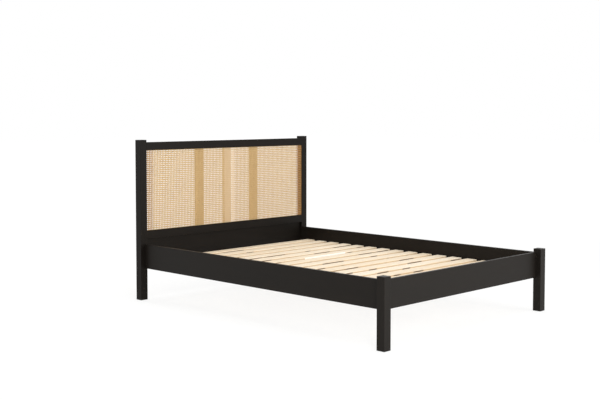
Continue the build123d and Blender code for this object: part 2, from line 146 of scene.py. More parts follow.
def black_satin_lacquer(name, along, look, strength=1.0):
    """Solid wood sprayed with black satin lacquer.

    The open grain still reads as faint long lines, the film is a little paler along the arrises, partly as its
    thinner film there and partly as a painted highlight, and slow changes of sheen show where the spray overlapped.
    A strength under 1 darkens and dulls the coat as painted shade.
    """
    material, tree = new_material(name)
    place = add_node(tree, "ShaderNodeTexCoord").outputs["Object"]
    pores_at = add_node(tree, "ShaderNodeMapping", {"Vector": place, "Scale": stretched(along, 3, 90)})
    pores = add_node(tree, "ShaderNodeTexNoise",
                     {"Vector": pores_at.outputs[0], "Scale": 1.0, "Detail": 4.0, "Roughness": 0.6})
    cloud_at = add_node(tree, "ShaderNodeMapping", {"Vector": place, "Scale": stretched(along, 60, 260)})
    cloud = add_node(tree, "ShaderNodeTexNoise",
                     {"Vector": cloud_at.outputs[0], "Scale": 1.0, "Detail": 2.0, "Roughness": 0.5})
    # A strength under 1 darkens these colours and the gloss: painted shade, used on the headboard.
    dark, pale, thin = ((*(part * strength for part in tone), 1)
                        for tone in (look.lacquer_dark, look.lacquer_pale, look.lacquer_edge_film_and_highlight))
    film = add_node(tree, "ShaderNodeMix", {"Factor": cloud.outputs["Fac"], "A": dark, "B": pale},
                    data_type="RGBA")
    # Painted highlight mixed with the thinner film: within 2 mm of an arris the colour turns paler.
    paler_edges = edge_mask(tree, 2.0, 1.6)
    body = add_node(tree, "ShaderNodeMix",
                    {"Factor": paler_edges, "A": film.outputs["Result"], "B": thin}, data_type="RGBA")
    sheen = add_node(tree, "ShaderNodeMapRange",
                     {"Value": cloud.outputs["Fac"], "From Min": 0.3, "From Max": 0.7,
                      "To Min": look.lacquer_roughness - 0.05, "To Max": look.lacquer_roughness + 0.05})
    bump = add_node(tree, "ShaderNodeBump",
                    {"Height": pores.outputs["Fac"], "Strength": 0.25, "Distance": 0.25 * MM})
    surface = add_node(tree, "ShaderNodeBsdfPrincipled",
                       {"Base Color": body.outputs["Result"], "Roughness": sheen.outputs[0], "IOR": 1.5,
                        "Specular IOR Level": look.lacquer_gloss * strength, "Normal": bump.outputs[0]})
    add_node(tree, "ShaderNodeOutputMaterial", {"Surface": surface.outputs[0]})
    return material


def shaded_edges(tree, place, number, top, face, look):
    """The slats' long edges: browner from a few millimetres below the top, as painted shade in the gaps between the
    slats.

    Dark brown patches of painted shade lie on their lower parts here and there, and one edge has a near-white
    stretch of painted light over part of its length.
    """
    normal = add_node(tree, "ShaderNodeTexCoord").outputs["Normal"]
    facing = add_node(tree, "ShaderNodeSeparateXYZ", {0: normal})
    upright = add_node(tree, "ShaderNodeMath", {0: facing.outputs["Y"]}, operation="ABSOLUTE")
    edge = add_node(tree, "ShaderNodeMapRange", {"Value": upright.outputs[0], "From Min": 0.75, "From Max": 0.9})
    position = add_node(tree, "ShaderNodeSeparateXYZ", {0: place}).outputs
    # Painted shade: from a few millimetres under the top, the long edges turn browner, where the gaps between slats
    # fall dark.
    below = add_node(tree, "ShaderNodeMapRange",
                     {"Value": position["Z"], "From Min": top - SHADE_DEPTH, "From Max": top - 1.5 * SHADE_DEPTH})
    low_edge = add_node(tree, "ShaderNodeMath", {0: edge.outputs[0], 1: below.outputs[0]}, operation="MULTIPLY")
    shade_share = add_node(tree, "ShaderNodeMath", {0: low_edge.outputs[0], 1: 0.7}, operation="MULTIPLY")
    shaded = add_node(tree, "ShaderNodeMix",
                    {"Factor": shade_share.outputs[0], "A": face, "B": (*look.edge_shade, 1)}, data_type="RGBA")
    # Painted shade: dark brown patches here and there on the low edges, from a noise stretched along the slat.
    along = add_node(tree, "ShaderNodeMath", {0: position["X"], 1: SHADE_PATCH_LENGTH}, operation="DIVIDE")
    # Far apart in the noise, so that one slat's patches of painted shade have nothing to do with its neighbour's.
    board = add_node(tree, "ShaderNodeMath", {0: number, 1: 5.3}, operation="MULTIPLY")
    spot = add_node(tree, "ShaderNodeCombineXYZ", {0: along.outputs[0], 1: board.outputs[0]})
    patches = add_node(tree, "ShaderNodeTexNoise", {"Vector": spot.outputs[0], "Scale": 1.0, "Detail": 0.0})
    left = add_node(tree, "ShaderNodeMapRange",
                    {"Value": patches.outputs["Fac"], "From Min": 0.60, "From Max": 0.64, "To Max": 0.9})
    bark = add_node(tree, "ShaderNodeMath", {0: low_edge.outputs[0], 1: left.outputs[0]}, operation="MULTIPLY")
    shade_patched = add_node(tree, "ShaderNodeMix",
                      {"Factor": bark.outputs[0], "A": shaded.outputs["Result"], "B": (*look.bark, 1)},
                      data_type="RGBA")
    # Painted light: a near-white stretch on one slat's edge, standing in for the bright floor seen through its gap.
    this_slat = add_node(tree, "ShaderNodeMath", {0: number, 1: LIT_GAP_SLAT, 2: 0.5}, operation="COMPARE")
    stretch = add_node(tree, "ShaderNodeMath",
                       {0: position["X"], 1: LIT_GAP_MIDDLE, 2: LIT_GAP_HALF_LENGTH}, operation="COMPARE")
    cut = add_node(tree, "ShaderNodeMath", {0: this_slat.outputs[0], 1: stretch.outputs[0]}, operation="MULTIPLY")
    fresh = add_node(tree, "ShaderNodeMath", {0: cut.outputs[0], 1: edge.outputs[0]}, operation="MULTIPLY")
    whole = add_node(tree, "ShaderNodeMix",
                     {"Factor": fresh.outputs[0], "A": shade_patched.outputs["Result"], "B": (*look.gap_light, 1)},
                     data_type="RGBA")
    return whole.outputs["Result"]


def planed_softwood(name, along, tones, roughness, row=None, look=None):
    """Planed and sealed softwood: growth rings run as soft lines along the board, cut from a log of its own.

    The tones are its latewood, its earlywood and the warmer heart. A row of boards is given as its pitch, its start
    at the foot and its top: there each board is told apart by its place, so neighbours differ in tone and rings,
    and the edges take painted shade and painted light, in the colours that look holds.
    """
    late, early, warm = ((*tone, 1) for tone in tones)
    material, tree = new_material(name)
    place = add_node(tree, "ShaderNodeTexCoord").outputs["Object"]
    # A board that stands alone has one fixed place in the noise.
    number = 3.0
    if row:
        pitch, start, top = row
        split = add_node(tree, "ShaderNodeSeparateXYZ", {0: place})
        steps = add_node(tree, "ShaderNodeMath", {0: split.outputs["Y"], 1: -start}, operation="ADD")
        board = add_node(tree, "ShaderNodeMath", {0: steps.outputs[0], 1: pitch}, operation="DIVIDE")
        number = add_node(tree, "ShaderNodeMath", {0: board.outputs[0]}, operation="FLOOR").outputs[0]
    chance = add_node(tree, "ShaderNodeTexWhiteNoise", {"W": number}, noise_dimensions="1D")
    # The log's own place: a few centimetres off the board, so the rings cross its face at a low angle. The numbered
    # sockets are the range it is drawn from.
    log = add_node(tree, "ShaderNodeMapRange",
                   {"Vector": chance.outputs["Color"], 7: (0, 0, 0), 8: (1, 1, 1), 9: (-0.9, -0.05, -0.16),
                    10: (0.9, 0.05, -0.07)}, data_type="FLOAT_VECTOR")
    moved = add_node(tree, "ShaderNodeVectorMath", {0: place, 1: log.outputs["Vector"]}, operation="ADD")
    bend_at = add_node(tree, "ShaderNodeMapping", {"Vector": moved.outputs[0], "Scale": stretched(along, 70, 420)})
    bend = add_node(tree, "ShaderNodeTexNoise", {"Vector": bend_at.outputs[0], "Scale": 1.0, "Detail": 2.0})
    swing = add_node(tree, "ShaderNodeVectorMath", {0: bend.outputs["Color"], "Scale": 14 * MM}, operation="SCALE")
    rings_at = add_node(tree, "ShaderNodeVectorMath", {0: moved.outputs[0], 1: swing.outputs[0]}, operation="ADD")
    flat = [1.0, 1.0, 1.0]
    flat[AXES[along]] = 0.02
    squeezed = add_node(tree, "ShaderNodeMapping", {"Vector": rings_at.outputs[0], "Scale": flat})
    radius = add_node(tree, "ShaderNodeVectorMath", {0: squeezed.outputs[0]}, operation="LENGTH")
    ring = add_node(tree, "ShaderNodeMath", {0: radius.outputs["Value"], 1: 3.2 * MM}, operation="DIVIDE")
    turn = add_node(tree, "ShaderNodeMath", {0: ring.outputs[0]}, operation="FRACT")
    # Earlywood is broad and pale; latewood darkens slowly, then ends sharply.
    rise = add_node(tree, "ShaderNodeMapRange",
                    {"Value": turn.outputs[0], "From Min": 0.35, "From Max": 0.92, "To Min": 0.0, "To Max": 1.0},
                    interpolation_type="SMOOTHSTEP")
    fibres_at = add_node(tree, "ShaderNodeMapping", {"Vector": place, "Scale": stretched(along, 1.6, 60)})
    fibres = add_node(tree, "ShaderNodeTexNoise",
                      {"Vector": fibres_at.outputs[0], "Scale": 1.0, "Detail": 3.0, "Roughness": 0.6})
    lines = add_node(tree, "ShaderNodeMath", {0: rise.outputs[0], 1: fibres.outputs["Fac"]}, operation="MULTIPLY")
    faint = add_node(tree, "ShaderNodeMath", {0: lines.outputs[0], 1: 0.9}, operation="MULTIPLY")
    wood = add_node(tree, "ShaderNodeMix", {"Factor": faint.outputs[0], "A": early, "B": late}, data_type="RGBA")
    tone_at = add_node(tree, "ShaderNodeMapping", {"Vector": moved.outputs[0], "Scale": stretched(along, 120, 500)})
    tone = add_node(tree, "ShaderNodeTexNoise", {"Vector": tone_at.outputs[0], "Scale": 1.0, "Detail": 1.0})
    mixed = add_node(tree, "ShaderNodeMath",
                     {0: tone.outputs["Fac"], 1: chance.outputs["Value"]}, operation="MULTIPLY")
    toned = add_node(tree, "ShaderNodeMix",
                     {"Factor": mixed.outputs[0], "A": wood.outputs["Result"], "B": warm}, data_type="RGBA")
    body = toned.outputs["Result"]
    if row:
        body = shaded_edges(tree, place, number, top, body, look)
    bump = add_node(tree, "ShaderNodeBump",
                    {"Height": fibres.outputs["Fac"], "Strength": 0.3, "Distance": 0.15 * MM})
    surface = add_node(tree, "ShaderNodeBsdfPrincipled",
                       {"Base Color": body, "Roughness": roughness, "IOR": 1.46,
                        "Specular IOR Level": 0.35, "Normal": bump.outputs[0]})
    add_node(tree, "ShaderNodeOutputMaterial", {"Surface": surface.outputs[0]})
    return material


def split_cane(look):
    """Split rattan bark, lacquered: honey coloured, glossier on its rounded face, each strand a little different.

    The strand's own tone comes from the weave's "tone" attribute, and darker nodes of the vine cross it in places.
    The sheet's two sides are darker, as painted shade beside the posts, and the strands over the middle upright are
    painted paler, as painted light where the pale upright shows through.
    """
    material, tree = new_material("split_rattan_cane")
    place = add_node(tree, "ShaderNodeTexCoord").outputs["Object"]
    strand = add_node(tree, "ShaderNodeAttribute", attribute_name="tone").outputs["Fac"]
    pale, deep, joint_brown, side_shade_brown, over_upright_light = ((*tone, 1) for tone in (
        look.cane_pale, look.cane_deep, look.cane_joint, look.cane_side_shade, look.cane_upright_light))
    patch = add_node(tree, "ShaderNodeTexNoise", {"Vector": place, "Scale": 1 / (35 * MM), "Detail": 3.0})
    both = add_node(tree, "ShaderNodeMath", {0: patch.outputs["Fac"], 1: strand}, operation="ADD")
    half = add_node(tree, "ShaderNodeMath", {0: both.outputs[0], 1: 0.5}, operation="MULTIPLY")
    bark = add_node(tree, "ShaderNodeMix", {"Factor": half.outputs[0], "A": pale, "B": deep}, data_type="RGBA")
    joints_at = add_node(tree, "ShaderNodeMapping", {"Vector": place, "Scale": (1 / (9 * MM),) * 3})
    joints = add_node(tree, "ShaderNodeTexNoise", {"Vector": joints_at.outputs[0], "Scale": 1.0, "Detail": 1.0})
    spot = add_node(tree, "ShaderNodeMapRange",
                    {"Value": joints.outputs["Fac"], "From Min": 0.66, "From Max": 0.76, "To Min": 0.0,
                     "To Max": 0.55})
    jointed = add_node(tree, "ShaderNodeMix",
                       {"Factor": spot.outputs[0], "A": bark.outputs["Result"], "B": joint_brown},
                       data_type="RGBA")
    across = add_node(tree, "ShaderNodeSeparateXYZ", {0: place}).outputs["X"]
    # Painted shade: the strands darken towards the sheet's two sides, beside the posts, more on the right.
    starts, fade = look.side_shade_start, 10 * MM
    left = add_node(tree, "ShaderNodeMapRange",
                    {"Value": across, "From Min": -(starts + fade), "From Max": -starts, "To Min": 0.65,
                     "To Max": 0.0})
    right = add_node(tree, "ShaderNodeMapRange",
                     {"Value": across, "From Min": starts, "From Max": starts + fade, "To Min": 0.0,
                      "To Max": 0.95})
    # The share of painted shade at each side.
    soaked = add_node(tree, "ShaderNodeMath", {0: left.outputs[0], 1: right.outputs[0]}, operation="ADD")
    shadowed = add_node(tree, "ShaderNodeMix",
                     {"Factor": soaked.outputs[0], "A": jointed.outputs["Result"], "B": side_shade_brown},
                     data_type="RGBA")
    # Painted light: the strands over the middle upright are paler, where the pale upright shows lit through the
    # weave.
    from_middle = add_node(tree, "ShaderNodeMath", {0: across}, operation="ABSOLUTE")
    over_upright = add_node(tree, "ShaderNodeMapRange",
                            {"Value": from_middle.outputs[0], "From Min": look.upright_light_half_width - 8 * MM,
                             "From Max": look.upright_light_half_width, "To Min": 0.7, "To Max": 0.0})
    body = add_node(tree, "ShaderNodeMix",
                    {"Factor": over_upright.outputs[0], "A": shadowed.outputs["Result"], "B": over_upright_light},
                    data_type="RGBA")
    fibres = add_node(tree, "ShaderNodeTexNoise", {"Vector": place, "Scale": 1 / (0.7 * MM), "Detail": 2.0})
    bump = add_node(tree, "ShaderNodeBump",
                    {"Height": fibres.outputs["Fac"], "Strength": 0.3, "Distance": 0.1 * MM})
    surface = add_node(tree, "ShaderNodeBsdfPrincipled",
                       {"Base Color": body.outputs["Result"], "Roughness": 0.42, "IOR": 1.5,
                        "Specular IOR Level": 0.4, "Normal": bump.outputs[0]})
    add_node(tree, "ShaderNodeOutputMaterial", {"Surface": surface.outputs[0]})
    return material


def turned_beech():
    """Turned beech dowel: pinkish tan, with the short dark flecks of beech rays."""
    material, tree = new_material("turned_beech")
    place = add_node(tree, "ShaderNodeTexCoord").outputs["Object"]
    flecks = add_node(tree, "ShaderNodeTexVoronoi", {"Vector": place, "Scale": 1 / (1.5 * MM)})
    mark = add_node(tree, "ShaderNodeMapRange",
                    {"Value": flecks.outputs["Distance"], "From Min": 0.1, "From Max": 0.35, "To Min": 0.6,
                     "To Max": 0.0})
    body = add_node(tree, "ShaderNodeMix",
                    {"Factor": mark.outputs[0], "A": (*linear("#D9B98F"), 1), "B": (*linear("#B58E62"), 1)},
                    data_type="RGBA")
    surface = add_node(tree, "ShaderNodeBsdfPrincipled", {"Base Color": body.outputs["Result"], "Roughness": 0.6})
    add_node(tree, "ShaderNodeOutputMaterial", {"Surface": surface.outputs[0]})
    return material


def plated_steel(name, base, rubbed, metallic, roughness, brush_mm):
    """Steel with a thin factory coat: fine lines from the die or the drum, rubbed brighter at the edges."""
    material, tree = new_material(name)
    place = add_node(tree, "ShaderNodeTexCoord").outputs["Object"]
    lines = add_node(tree, "ShaderNodeTexNoise", {"Vector": place, "Scale": 1 / (brush_mm * MM), "Detail": 3.0})
    paler_edges = edge_mask(tree, 0.6, 1.5)
    body = add_node(tree, "ShaderNodeMix",
                    {"Factor": paler_edges, "A": (*linear(base), 1), "B": (*linear(rubbed), 1)}, data_type="RGBA")
    rough = add_node(tree, "ShaderNodeMapRange",
                     {"Value": lines.outputs["Fac"], "From Min": 0.3, "From Max": 0.7, "To Min": roughness - 0.08,
                      "To Max": roughness + 0.08})
    bump = add_node(tree, "ShaderNodeBump",
                    {"Height": lines.outputs["Fac"], "Strength": 0.15, "Distance": 0.05 * MM})
    surface = add_node(tree, "ShaderNodeBsdfPrincipled",
                       {"Base Color": body.outputs["Result"], "Metallic": metallic,
                        "Roughness": rough.outputs[0], "Normal": bump.outputs[0]})
    add_node(tree, "ShaderNodeOutputMaterial", {"Surface": surface.outputs[0]})
    return material


def moulded_nylon():
    """Moulded grey nylon with a fine spark-eroded texture, dull and even."""
    material, tree = new_material("moulded_nylon")
    place = add_node(tree, "ShaderNodeTexCoord").outputs["Object"]
    grit = add_node(tree, "ShaderNodeTexNoise", {"Vector": place, "Scale": 1 / (0.8 * MM), "Detail": 2.0})
    body = add_node(tree, "ShaderNodeMix",
                    {"Factor": grit.outputs["Fac"], "A": (*linear("#26262A"), 1), "B": (*linear("#3A3A3E"), 1)},
                    data_type="RGBA")
    bump = add_node(tree, "ShaderNodeBump", {"Height": grit.outputs["Fac"], "Strength": 0.3, "Distance": 0.1 * MM})
    surface = add_node(tree, "ShaderNodeBsdfPrincipled",
                       {"Base Color": body.outputs["Result"], "Roughness": 0.6, "IOR": 1.53,
                        "Normal": bump.outputs[0]})
    add_node(tree, "ShaderNodeOutputMaterial", {"Surface": surface.outputs[0]})
    return material


def shown_to_eye(tree):
    """1 for rays that show the background: from the camera, and from gloss or glass."""
    path = add_node(tree, "ShaderNodeLightPath").outputs
    first = add_node(tree, "ShaderNodeMath", {0: path["Is Camera Ray"], 1: path["Is Glossy Ray"]},
                     operation="MAXIMUM")
    return add_node(tree, "ShaderNodeMath", {0: first.outputs[0], 1: path["Is Transmission Ray"]},
                    operation="MAXIMUM").outputs[0]


def white_studio_floor():
    """A matt white paper floor. Most of its white is its own, so that only a pale shadow of the bed shows on it.

    Farther out all of the white is its own, and the floor runs into the white of the room.
    """
    material, tree = new_material("white_paper_floor")
    seen = shown_to_eye(tree)
    place = add_node(tree, "ShaderNodeTexCoord").outputs["Object"]
    from_bed = add_node(tree, "ShaderNodeVectorMath", {0: place}, operation="LENGTH")
    share = add_node(tree, "ShaderNodeMapRange",
                     {"Value": from_bed.outputs["Value"], "From Min": SHADOW_NEAR, "From Max": SHADOW_FAR,
                      "To Min": 0.8, "To Max": 1.0})
    lift = add_node(tree, "ShaderNodeMath", {0: seen, 1: share.outputs[0]}, operation="MULTIPLY")
    paper = add_node(tree, "ShaderNodeBsdfDiffuse", {"Color": (*linear("#F2F2F0"), 1)})
    white = add_node(tree, "ShaderNodeEmission", {"Color": (1, 1, 1, 1), "Strength": 1.05})
    mixed = add_node(tree, "ShaderNodeMixShader", {0: lift.outputs[0], 1: paper.outputs[0], 2: white.outputs[0]})
    add_node(tree, "ShaderNodeOutputMaterial", {"Surface": mixed.outputs[0]})
    return material


# The cane weave. Both trees lay the webbing flat in X and Y, then stand it up as a sheet that faces -Y.


def new_tree(name, sockets):
    """A Geometry Nodes tree with named inputs and one geometry output, its input node and its output node."""
    tree = bpy.data.node_groups.new(name, "GeometryNodeTree")
    tree.interface.new_socket(name="Geometry", in_out="OUTPUT", socket_type="NodeSocketGeometry")
    tree.interface.new_socket(name="Geometry", in_out="INPUT", socket_type="NodeSocketGeometry")
    for socket_name, kind in sockets:
        tree.interface.new_socket(name=socket_name, in_out="INPUT", socket_type="NodeSocket" + kind)
    return tree, tree.nodes.new("NodeGroupInput").outputs, tree.nodes.new("NodeGroupOutput")


def sweep_and_stand(tree, given, output, curves):
    """Sweeps the strand's section along the curves, stands the sheet up, and gives it its material."""
    face = add_node(tree, "ShaderNodeMath", {0: given["Strand thickness"], 1: 0.6}, operation="MULTIPLY")
    back = add_node(tree, "ShaderNodeMath", {0: given["Strand thickness"], 1: 0.4}, operation="MULTIPLY")
    section = add_node(tree, "GeometryNodeCurvePrimitiveQuadrilateral",
                       {"Width": given["Strand width"], "Bottom Height": face.outputs[0],
                        "Top Height": back.outputs[0]}, mode="KITE")
    strands = add_node(tree, "GeometryNodeCurveToMesh",
                       {"Curve": curves, "Profile Curve": section.outputs[0], "Fill Caps": True})
    smooth = add_node(tree, "GeometryNodeSetShadeSmooth", {"Geometry": strands.outputs[0], "Shade Smooth": True})
    stood = add_node(tree, "GeometryNodeTransform",
                     {"Geometry": smooth.outputs[0], "Translation": given["Sheet centre"],
                      "Rotation": (math.pi / 2, 0, 0)})
    real = add_node(tree, "GeometryNodeRealizeInstances", {"Geometry": stood.outputs[0]})
    done = add_node(tree, "GeometryNodeSetMaterial", {"Geometry": real.outputs[0], "Material": given["Cane"]})
    tree.links.new(done.outputs[0], output.inputs[0])


def copied_strands(tree, given, count, points):
    """Straight strands of that many points, one on another, with a tone of its own on each.

    Returns the curves, the strand's number and the point's number.
    """
    line = add_node(tree, "GeometryNodeCurvePrimitiveLine")
    fine = add_node(tree, "GeometryNodeResampleCurve", {"Curve": line.outputs[0], "Count": points}, mode="COUNT")
    copies = add_node(tree, "GeometryNodeDuplicateElements",
                      {"Geometry": fine.outputs[0], "Amount": count}, domain="SPLINE")
    number = copies.outputs["Duplicate Index"]
    chance = add_node(tree, "FunctionNodeRandomValue", {"ID": number, "Seed": given["Seed"]}, data_type="FLOAT")
    toned = add_node(tree, "GeometryNodeStoreNamedAttribute",
                     {"Geometry": copies.outputs[0], "Name": "tone", "Value": chance.outputs["Value"]},
                     data_type="FLOAT", domain="CURVE")
    step = add_node(tree, "GeometryNodeSplineParameter").outputs["Index"]
    return toned.outputs[0], number, step


def paired_strands_tree():
    """Pairs of strands that run one way and pass over and under the pairs that cross them."""
    tree, given, output = new_tree("paired cane strands", [
        ("Pitch", "Float"), ("Half spread", "Float"), ("Strand width", "Float"), ("Strand thickness", "Float"),
        ("Wave height", "Float"), ("First pair", "Int"), ("Pairs", "Int"), ("Crossings", "Int"),
        ("Run", "Vector"), ("Spread", "Vector"), ("Sheet centre", "Vector"), ("Cane", "Material"), ("Seed", "Int")])
    # Three points for each crossing, at the first strand, the second strand and midway to the next pair.
    tripled = add_node(tree, "ShaderNodeMath", {0: given["Crossings"], 1: 3.0}, operation="MULTIPLY")
    points = add_node(tree, "ShaderNodeMath", {0: tripled.outputs[0], 1: 1.0}, operation="ADD")
    count = add_node(tree, "ShaderNodeMath", {0: given["Pairs"], 1: 2.0}, operation="MULTIPLY")
    curves, number, step = copied_strands(tree, given, count.outputs[0], points.outputs[0])
    late = add_node(tree, "ShaderNodeMath", {0: step, 1: 2.0}, operation="ADD")
    third = add_node(tree, "ShaderNodeMath", {0: late.outputs[0], 1: 3.0}, operation="DIVIDE")
    crossing = add_node(tree, "ShaderNodeMath", {0: third.outputs[0]}, operation="FLOOR")
    part = add_node(tree, "ShaderNodeMath", {0: late.outputs[0], 1: 3.0}, operation="MODULO")
    half_pitch = add_node(tree, "ShaderNodeMath", {0: given["Pitch"], 1: 0.5}, operation="MULTIPLY")
    before = add_node(tree, "ShaderNodeMath", {0: given["Half spread"], 1: -1.0}, operation="MULTIPLY")
    offset = add_node(tree, "GeometryNodeIndexSwitch", data_type="FLOAT")
    offset.index_switch_items.new()
    level = add_node(tree, "GeometryNodeIndexSwitch", data_type="FLOAT")
    level.index_switch_items.new()
    tree.links.new(part.outputs[0], offset.inputs[0])
    tree.links.new(part.outputs[0], level.inputs[0])
    for place, socket in enumerate((before.outputs[0], given["Half spread"], half_pitch.outputs[0])):
        tree.links.new(socket, offset.inputs[1 + place])
    for place, value in enumerate((1.0, -1.0, 0.0)):
        level.inputs[1 + place].default_value = value
    middle = add_node(tree, "ShaderNodeMath", {0: given["Crossings"], 1: 0.5, 2: 0.5}, operation="MULTIPLY_ADD")
    from_middle = add_node(tree, "ShaderNodeMath", {0: crossing.outputs[0], 1: middle.outputs[0]},
                           operation="SUBTRACT")
    along = add_node(tree, "ShaderNodeMath",
                     {0: from_middle.outputs[0], 1: given["Pitch"], 2: offset.outputs[0]}, operation="MULTIPLY_ADD")
    halved = add_node(tree, "ShaderNodeMath", {0: number, 1: 0.5}, operation="MULTIPLY")
    pair = add_node(tree, "ShaderNodeMath", {0: halved.outputs[0]}, operation="FLOOR")
    parity = add_node(tree, "ShaderNodeMath", {0: number, 1: 2.0}, operation="MODULO")
    side = add_node(tree, "ShaderNodeMath", {0: parity.outputs[0], 1: 2.0, 2: -1.0}, operation="MULTIPLY_ADD")
    pair_number = add_node(tree, "ShaderNodeMath", {0: pair.outputs[0], 1: given["First pair"]}, operation="ADD")
    aside = add_node(tree, "ShaderNodeMath", {0: side.outputs[0], 1: given["Half spread"]}, operation="MULTIPLY")
    across = add_node(tree, "ShaderNodeMath",
                      {0: pair_number.outputs[0], 1: given["Pitch"], 2: aside.outputs[0]}, operation="MULTIPLY_ADD")
    over = add_node(tree, "ShaderNodeMath", {0: level.outputs[0], 1: side.outputs[0]}, operation="MULTIPLY")
    height = add_node(tree, "ShaderNodeMath", {0: over.outputs[0], 1: given["Wave height"]}, operation="MULTIPLY")
    on_run = add_node(tree, "ShaderNodeVectorMath", {0: given["Run"], "Scale": along.outputs[0]}, operation="SCALE")
    on_spread = add_node(tree, "ShaderNodeVectorMath", {0: given["Spread"], "Scale": across.outputs[0]},
                         operation="SCALE")
    lift = add_node(tree, "ShaderNodeCombineXYZ", {"Z": height.outputs[0]})
    flat = add_node(tree, "ShaderNodeVectorMath", {0: on_run.outputs[0], 1: on_spread.outputs[0]}, operation="ADD")
    point = add_node(tree, "ShaderNodeVectorMath", {0: flat.outputs[0], 1: lift.outputs[0]}, operation="ADD")
    placed = add_node(tree, "GeometryNodeSetPosition", {"Geometry": curves, "Position": point.outputs[0]})
    sweep_and_stand(tree, given, output, placed.outputs[0])
    return tree


def slanting_strands_tree():
    """Single strands at 45 degrees, cut off at the sheet's edge: over one set of pairs and under the other."""
    tree, given, output = new_tree("slanting cane strands", [
        ("Pitch", "Float"), ("Strand width", "Float"), ("Strand thickness", "Float"), ("Wave height", "Float"),
        ("Slant", "Float"), ("Half width", "Float"), ("Half height", "Float"), ("Strands", "Int"),
        ("Sheet centre", "Vector"), ("Cane", "Material"), ("Seed", "Int")])
    quarter = add_node(tree, "ShaderNodeMath", {0: given["Pitch"], 1: 0.25}, operation="MULTIPLY").outputs[0]
    fits = add_node(tree, "ShaderNodeMath", {0: given["Half height"], 1: quarter}, operation="DIVIDE")
    whole = add_node(tree, "ShaderNodeMath", {0: fits.outputs[0]}, operation="CEIL")
    points = add_node(tree, "ShaderNodeMath", {0: whole.outputs[0], 1: 2.0}, operation="MULTIPLY")
    curves, number, step = copied_strands(tree, given, given["Strands"], points.outputs[0])
    half_count = add_node(tree, "ShaderNodeMath", {0: given["Strands"], 1: -0.5, 2: 0.5}, operation="MULTIPLY_ADD")
    order = add_node(tree, "ShaderNodeMath", {0: number, 1: half_count.outputs[0]}, operation="ADD")
    start = add_node(tree, "ShaderNodeMath", {0: order.outputs[0], 1: given["Pitch"]}, operation="MULTIPLY")
    from_end = add_node(tree, "ShaderNodeMath", {0: step, 1: 0.5}, operation="ADD")
    from_middle = add_node(tree, "ShaderNodeMath", {0: from_end.outputs[0], 1: whole.outputs[0]},
                           operation="SUBTRACT")
    rise = add_node(tree, "ShaderNodeMath", {0: from_middle.outputs[0], 1: quarter}, operation="MULTIPLY")
    turn = add_node(tree, "ShaderNodeMath", {0: from_middle.outputs[0], 1: math.pi / 2}, operation="MULTIPLY")
    wave = add_node(tree, "ShaderNodeMath", {0: turn.outputs[0]}, operation="COSINE")
    sign = add_node(tree, "ShaderNodeMath", {0: wave.outputs[0]}, operation="SIGN")
    handed = add_node(tree, "ShaderNodeMath", {0: sign.outputs[0], 1: given["Slant"]}, operation="MULTIPLY")
    height = add_node(tree, "ShaderNodeMath", {0: handed.outputs[0], 1: given["Wave height"]}, operation="MULTIPLY")
    raw = add_node(tree, "ShaderNodeCombineXYZ",
                   {"X": start.outputs[0], "Y": rise.outputs[0], "Z": height.outputs[0]})
    standing = add_node(tree, "GeometryNodeSetPosition", {"Geometry": curves, "Position": raw.outputs[0]})
    # Where each strand meets the sheet's edges, read back from its points.
    now = add_node(tree, "ShaderNodeSeparateXYZ", {0: add_node(tree, "GeometryNodeInputPosition").outputs[0]})
    leaning = add_node(tree, "ShaderNodeMath", {0: now.outputs["X"], 1: given["Slant"]}, operation="MULTIPLY")
    down = add_node(tree, "ShaderNodeMath", {0: given["Half width"], 1: -1.0}, operation="MULTIPLY")
    left_edge = add_node(tree, "ShaderNodeMath", {0: down.outputs[0], 1: leaning.outputs[0]}, operation="SUBTRACT")
    right_edge = add_node(tree, "ShaderNodeMath", {0: given["Half width"], 1: leaning.outputs[0]},
                          operation="SUBTRACT")
    low_edge = add_node(tree, "ShaderNodeMath", {0: given["Half height"], 1: -1.0}, operation="MULTIPLY")
    low = add_node(tree, "ShaderNodeMath", {0: low_edge.outputs[0], 1: left_edge.outputs[0]}, operation="MAXIMUM")
    high = add_node(tree, "ShaderNodeMath", {0: given["Half height"], 1: right_edge.outputs[0]},
                    operation="MINIMUM")
    lowest = add_node(tree, "ShaderNodeMath", {0: low.outputs[0], 1: quarter}, operation="SUBTRACT")
    highest = add_node(tree, "ShaderNodeMath", {0: high.outputs[0], 1: quarter}, operation="ADD")
    under = add_node(tree, "ShaderNodeMath", {0: now.outputs["Y"], 1: lowest.outputs[0]}, operation="LESS_THAN")
    beyond = add_node(tree, "ShaderNodeMath", {0: now.outputs["Y"], 1: highest.outputs[0]},
                      operation="GREATER_THAN")
    spare = add_node(tree, "ShaderNodeMath", {0: under.outputs[0], 1: beyond.outputs[0]}, operation="MAXIMUM")
    cut = add_node(tree, "GeometryNodeDeleteGeometry",
                   {"Geometry": standing.outputs[0], "Selection": spare.outputs[0]}, domain="POINT")
    held = add_node(tree, "ShaderNodeClamp",
                    {"Value": now.outputs["Y"], "Min": low.outputs[0], "Max": high.outputs[0]})
    leant = add_node(tree, "ShaderNodeMath",
                     {0: held.outputs[0], 1: given["Slant"], 2: now.outputs["X"]}, operation="MULTIPLY_ADD")
    final = add_node(tree, "ShaderNodeCombineXYZ",
                     {"X": leant.outputs[0], "Y": held.outputs[0], "Z": now.outputs["Z"]})
    slanted = add_node(tree, "GeometryNodeSetPosition", {"Geometry": cut.outputs[0], "Position": final.outputs[0]})
    sweep_and_stand(tree, given, output, slanted.outputs[0])
    return tree


